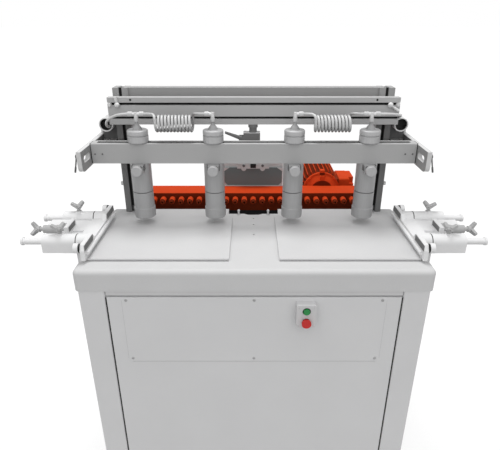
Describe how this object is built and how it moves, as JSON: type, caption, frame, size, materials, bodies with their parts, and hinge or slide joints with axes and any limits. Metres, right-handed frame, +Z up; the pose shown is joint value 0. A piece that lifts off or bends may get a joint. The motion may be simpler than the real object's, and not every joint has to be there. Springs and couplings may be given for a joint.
{
  "type": "multi-spindle boring machine",
  "caption": "Floor-standing line boring machine: flat table, side fences, slotted gantry with pneumatic hold-downs, and a tilting red head with a row of geared spindles and a motor.",
  "frame": {"origin": "on the floor, under the middle of the machine's overall box", "axes": "+X along the spindle row to the operator's right, +Y from the operator into the machine, +Z up"},
  "size_m": [1.334, 0.858, 1.307],
  "materials": {
    "casting_grey": "satin paint over a cast surface",
    "cabinet_grey": "satin light grey paint",
    "gantry_grey": "satin mid grey paint",
    "bridge_grey": "satin mid grey paint",
    "presser_grey": "matt anodised",
    "hand_grip_grey": "moulded, fine grain",
    "hose_grey": "extruded hose, slight sheen",
    "fitting_grey": "dull plated",
    "foot_steel": "zinc plated",
    "head_red": "gloss orange red paint",
    "spindle_red": "orange red, darker in the recesses",
    "bright_steel": "ground steel",
    "saddle_grey": "satin grey paint",
    "cradle_dark": "matt dark grey paint",
    "cylinder_alloy": "clear anodised",
    "panel_dark": "dark grey, matt",
    "switch_grey": "light grey moulding",
    "start_green": "green button",
    "stop_red": "red mushroom button"
  },
  "bodies": {
    "base": {"base_frame": "cabinet_grey", "levelling_feet": "foot_steel", "front_panel": "cabinet_grey", "access_panel": "cabinet_grey", "switch_box": "switch_grey", "worktable": "casting_grey", "gantry_frame": "gantry_grey", "fence_rail": "gantry_grey", "side_brackets": "casting_grey", "clamp_handles": "hand_grip_grey", "hand_valve": "gantry_grey"},
    "valve_lever": {"valve_lever": "gantry_grey"},
    "start_button": {"start_button": "start_green"},
    "stop_button": {"stop_button": "stop_red"},
    "side_fence_left": {"side_fence_left": "casting_grey"},
    "side_fence_right": {"side_fence_right": "casting_grey"},
    "bridge": {"bridge_beam": "bridge_grey", "bridge_arms": "bridge_grey", "presser_cylinders": "presser_grey", "presser_knobs": "presser_grey", "hose_fittings": "fitting_grey", "coil_hose_left": "hose_grey", "coil_hose_right": "hose_grey", "lead_hoses": "hose_grey"},
    "pressers": {"presser_pistons": "presser_grey"},
    "cradle": {"tilt_cradle": "cradle_dark", "feed_cylinder": "cylinder_alloy"},
    "head": {"head_housing": "head_red", "head_back_cover": "head_red", "spindle_bearings": "bright_steel", "motor_frame": "head_red", "motor_terminal_box": "head_red", "motor_fan_cowl": "head_red", "head_saddle": "saddle_grey", "stop_panel": "panel_dark", "feed_piston_rod": "bright_steel"},
    "rotor": {"motor_rotor": "bright_steel"},
    "spindle_01": {"spindle_01": "spindle_red"},
    "spindle_02": {"spindle_02": "spindle_red"},
    "spindle_03": {"spindle_03": "spindle_red"},
    "spindle_04": {"spindle_04": "spindle_red"},
    "spindle_05": {"spindle_05": "spindle_red"},
    "spindle_06": {"spindle_06": "spindle_red"},
    "spindle_07": {"spindle_07": "spindle_red"},
    "spindle_08": {"spindle_08": "spindle_red"},
    "spindle_09": {"spindle_09": "spindle_red"},
    "spindle_10": {"spindle_10": "spindle_red"},
    "spindle_11": {"spindle_11": "spindle_red"},
    "spindle_12": {"spindle_12": "spindle_red"},
    "spindle_13": {"spindle_13": "spindle_red"},
    "spindle_14": {"spindle_14": "spindle_red"},
    "spindle_15": {"spindle_15": "spindle_red"},
    "spindle_16": {"spindle_16": "spindle_red"},
    "spindle_17": {"spindle_17": "spindle_red"},
    "spindle_18": {"spindle_18": "spindle_red"},
    "spindle_19": {"spindle_19": "spindle_red"},
    "spindle_20": {"spindle_20": "spindle_red"},
    "spindle_21": {"spindle_21": "spindle_red"},
    "spindle_22": {"spindle_22": "spindle_red"},
    "spindle_23": {"spindle_23": "spindle_red"}
  },
  "joints": [
    {"name": "head_tilt", "type": "hinge", "parent": "base", "child": "cradle", "pos_m": [0, 0.018, 0.87], "axis": [-1, 0, 0], "range_deg": [0, 90]},
    {"name": "head_feed", "type": "slide", "parent": "cradle", "child": "head", "axis": [0, -1, 0], "range_m": [0, 0.04]},
    {"name": "motor_spin", "type": "hinge", "parent": "head", "child": "rotor", "pos_m": [0.256, 0.231, 0.9112], "axis": [0, 1, 0], "continuous": true},
    {"name": "bridge_height", "type": "slide", "parent": "base", "child": "bridge", "axis": [0, 0, 1], "range_m": [0, 0.04]},
    {"name": "presser_stroke", "type": "slide", "parent": "bridge", "child": "pressers", "axis": [0, 0, -1], "range_m": [0, 0.02], "stiffness_N_per_m": 700, "springref_m": -0.09},
    {"name": "left_fence_reach", "type": "slide", "parent": "base", "child": "side_fence_left", "axis": [1, 0, 0], "range_m": [0, 0.05]},
    {"name": "right_fence_reach", "type": "slide", "parent": "base", "child": "side_fence_right", "axis": [-1, 0, 0], "range_m": [0, 0.05]},
    {"name": "valve_turn", "type": "hinge", "parent": "base", "child": "valve_lever", "pos_m": [-0.04, -0.017, 1.158], "axis": [0, -1, 0], "range_deg": [0, 30]},
    {"name": "start_press", "type": "slide", "parent": "base", "child": "start_button", "axis": [0, 1, 0], "range_m": [0, 0.004], "stiffness_N_per_m": 800},
    {"name": "stop_press", "type": "slide", "parent": "base", "child": "stop_button", "axis": [0, 1, 0], "range_m": [0, 0.004], "stiffness_N_per_m": 800},
    {"name": "spindle_01_spin", "type": "hinge", "parent": "head", "child": "spindle_01", "pos_m": [-0.352, 0.121, 0.9112], "axis": [0, 1, 0], "continuous": true},
    {"name": "spindle_02_spin", "type": "hinge", "parent": "head", "child": "spindle_02", "pos_m": [-0.32, 0.121, 0.9112], "axis": [0, 1, 0], "continuous": true},
    {"name": "spindle_03_spin", "type": "hinge", "parent": "head", "child": "spindle_03", "pos_m": [-0.288, 0.121, 0.9112], "axis": [0, 1, 0], "continuous": true},
    {"name": "spindle_04_spin", "type": "hinge", "parent": "head", "child": "spindle_04", "pos_m": [-0.256, 0.121, 0.9112], "axis": [0, 1, 0], "continuous": true},
    {"name": "spindle_05_spin", "type": "hinge", "parent": "head", "child": "spindle_05", "pos_m": [-0.224, 0.121, 0.9112], "axis": [0, 1, 0], "continuous": true},
    {"name": "spindle_06_spin", "type": "hinge", "parent": "head", "child": "spindle_06", "pos_m": [-0.192, 0.121, 0.9112], "axis": [0, 1, 0], "continuous": true},
    {"name": "spindle_07_spin", "type": "hinge", "parent": "head", "child": "spindle_07", "pos_m": [-0.16, 0.121, 0.9112], "axis": [0, 1, 0], "continuous": true},
    {"name": "spindle_08_spin", "type": "hinge", "parent": "head", "child": "spindle_08", "pos_m": [-0.128, 0.121, 0.9112], "axis": [0, 1, 0], "continuous": true},
    {"name": "spindle_09_spin", "type": "hinge", "parent": "head", "child": "spindle_09", "pos_m": [-0.096, 0.121, 0.9112], "axis": [0, 1, 0], "continuous": true},
    {"name": "spindle_10_spin", "type": "hinge", "parent": "head", "child": "spindle_10", "pos_m": [-0.064, 0.121, 0.9112], "axis": [0, 1, 0], "continuous": true},
    {"name": "spindle_11_spin", "type": "hinge", "parent": "head", "child": "spindle_11", "pos_m": [-0.032, 0.121, 0.9112], "axis": [0, 1, 0], "continuous": true},
    {"name": "spindle_12_spin", "type": "hinge", "parent": "head", "child": "spindle_12", "pos_m": [0, 0.121, 0.9112], "axis": [0, 1, 0], "continuous": true},
    {"name": "spindle_13_spin", "type": "hinge", "parent": "head", "child": "spindle_13", "pos_m": [0.032, 0.121, 0.9112], "axis": [0, 1, 0], "continuous": true},
    {"name": "spindle_14_spin", "type": "hinge", "parent": "head", "child": "spindle_14", "pos_m": [0.064, 0.121, 0.9112], "axis": [0, 1, 0], "continuous": true},
    {"name": "spindle_15_spin", "type": "hinge", "parent": "head", "child": "spindle_15", "pos_m": [0.096, 0.121, 0.9112], "axis": [0, 1, 0], "continuous": true},
    {"name": "spindle_16_spin", "type": "hinge", "parent": "head", "child": "spindle_16", "pos_m": [0.128, 0.121, 0.9112], "axis": [0, 1, 0], "continuous": true},
    {"name": "spindle_17_spin", "type": "hinge", "parent": "head", "child": "spindle_17", "pos_m": [0.16, 0.121, 0.9112], "axis": [0, 1, 0], "continuous": true},
    {"name": "spindle_18_spin", "type": "hinge", "parent": "head", "child": "spindle_18", "pos_m": [0.192, 0.121, 0.9112], "axis": [0, 1, 0], "continuous": true},
    {"name": "spindle_19_spin", "type": "hinge", "parent": "head", "child": "spindle_19", "pos_m": [0.224, 0.121, 0.9112], "axis": [0, 1, 0], "continuous": true},
    {"name": "spindle_20_spin", "type": "hinge", "parent": "head", "child": "spindle_20", "pos_m": [0.256, 0.121, 0.9112], "axis": [0, 1, 0], "continuous": true},
    {"name": "spindle_21_spin", "type": "hinge", "parent": "head", "child": "spindle_21", "pos_m": [0.288, 0.121, 0.9112], "axis": [0, 1, 0], "continuous": true},
    {"name": "spindle_22_spin", "type": "hinge", "parent": "head", "child": "spindle_22", "pos_m": [0.32, 0.121, 0.9112], "axis": [0, 1, 0], "continuous": true},
    {"name": "spindle_23_spin", "type": "hinge", "parent": "head", "child": "spindle_23", "pos_m": [0.352, 0.121, 0.9112], "axis": [0, 1, 0], "continuous": true}
  ],
  "couplings": [
    {"joint": "spindle_01_spin", "follows": "motor_spin", "ratio": -1},
    {"joint": "spindle_02_spin", "follows": "motor_spin", "ratio": 1},
    {"joint": "spindle_03_spin", "follows": "motor_spin", "ratio": -1},
    {"joint": "spindle_04_spin", "follows": "motor_spin", "ratio": 1},
    {"joint": "spindle_05_spin", "follows": "motor_spin", "ratio": -1},
    {"joint": "spindle_06_spin", "follows": "motor_spin", "ratio": 1},
    {"joint": "spindle_07_spin", "follows": "motor_spin", "ratio": -1},
    {"joint": "spindle_08_spin", "follows": "motor_spin", "ratio": 1},
    {"joint": "spindle_09_spin", "follows": "motor_spin", "ratio": -1},
    {"joint": "spindle_10_spin", "follows": "motor_spin", "ratio": 1},
    {"joint": "spindle_11_spin", "follows": "motor_spin", "ratio": -1},
    {"joint": "spindle_12_spin", "follows": "motor_spin", "ratio": 1},
    {"joint": "spindle_13_spin", "follows": "motor_spin", "ratio": -1},
    {"joint": "spindle_14_spin", "follows": "motor_spin", "ratio": 1},
    {"joint": "spindle_15_spin", "follows": "motor_spin", "ratio": -1},
    {"joint": "spindle_16_spin", "follows": "motor_spin", "ratio": 1},
    {"joint": "spindle_17_spin", "follows": "motor_spin", "ratio": -1},
    {"joint": "spindle_18_spin", "follows": "motor_spin", "ratio": 1},
    {"joint": "spindle_19_spin", "follows": "motor_spin", "ratio": -1},
    {"joint": "spindle_20_spin", "follows": "motor_spin", "ratio": 1},
    {"joint": "spindle_21_spin", "follows": "motor_spin", "ratio": -1},
    {"joint": "spindle_22_spin", "follows": "motor_spin", "ratio": 1},
    {"joint": "spindle_23_spin", "follows": "motor_spin", "ratio": -1}
  ]
}
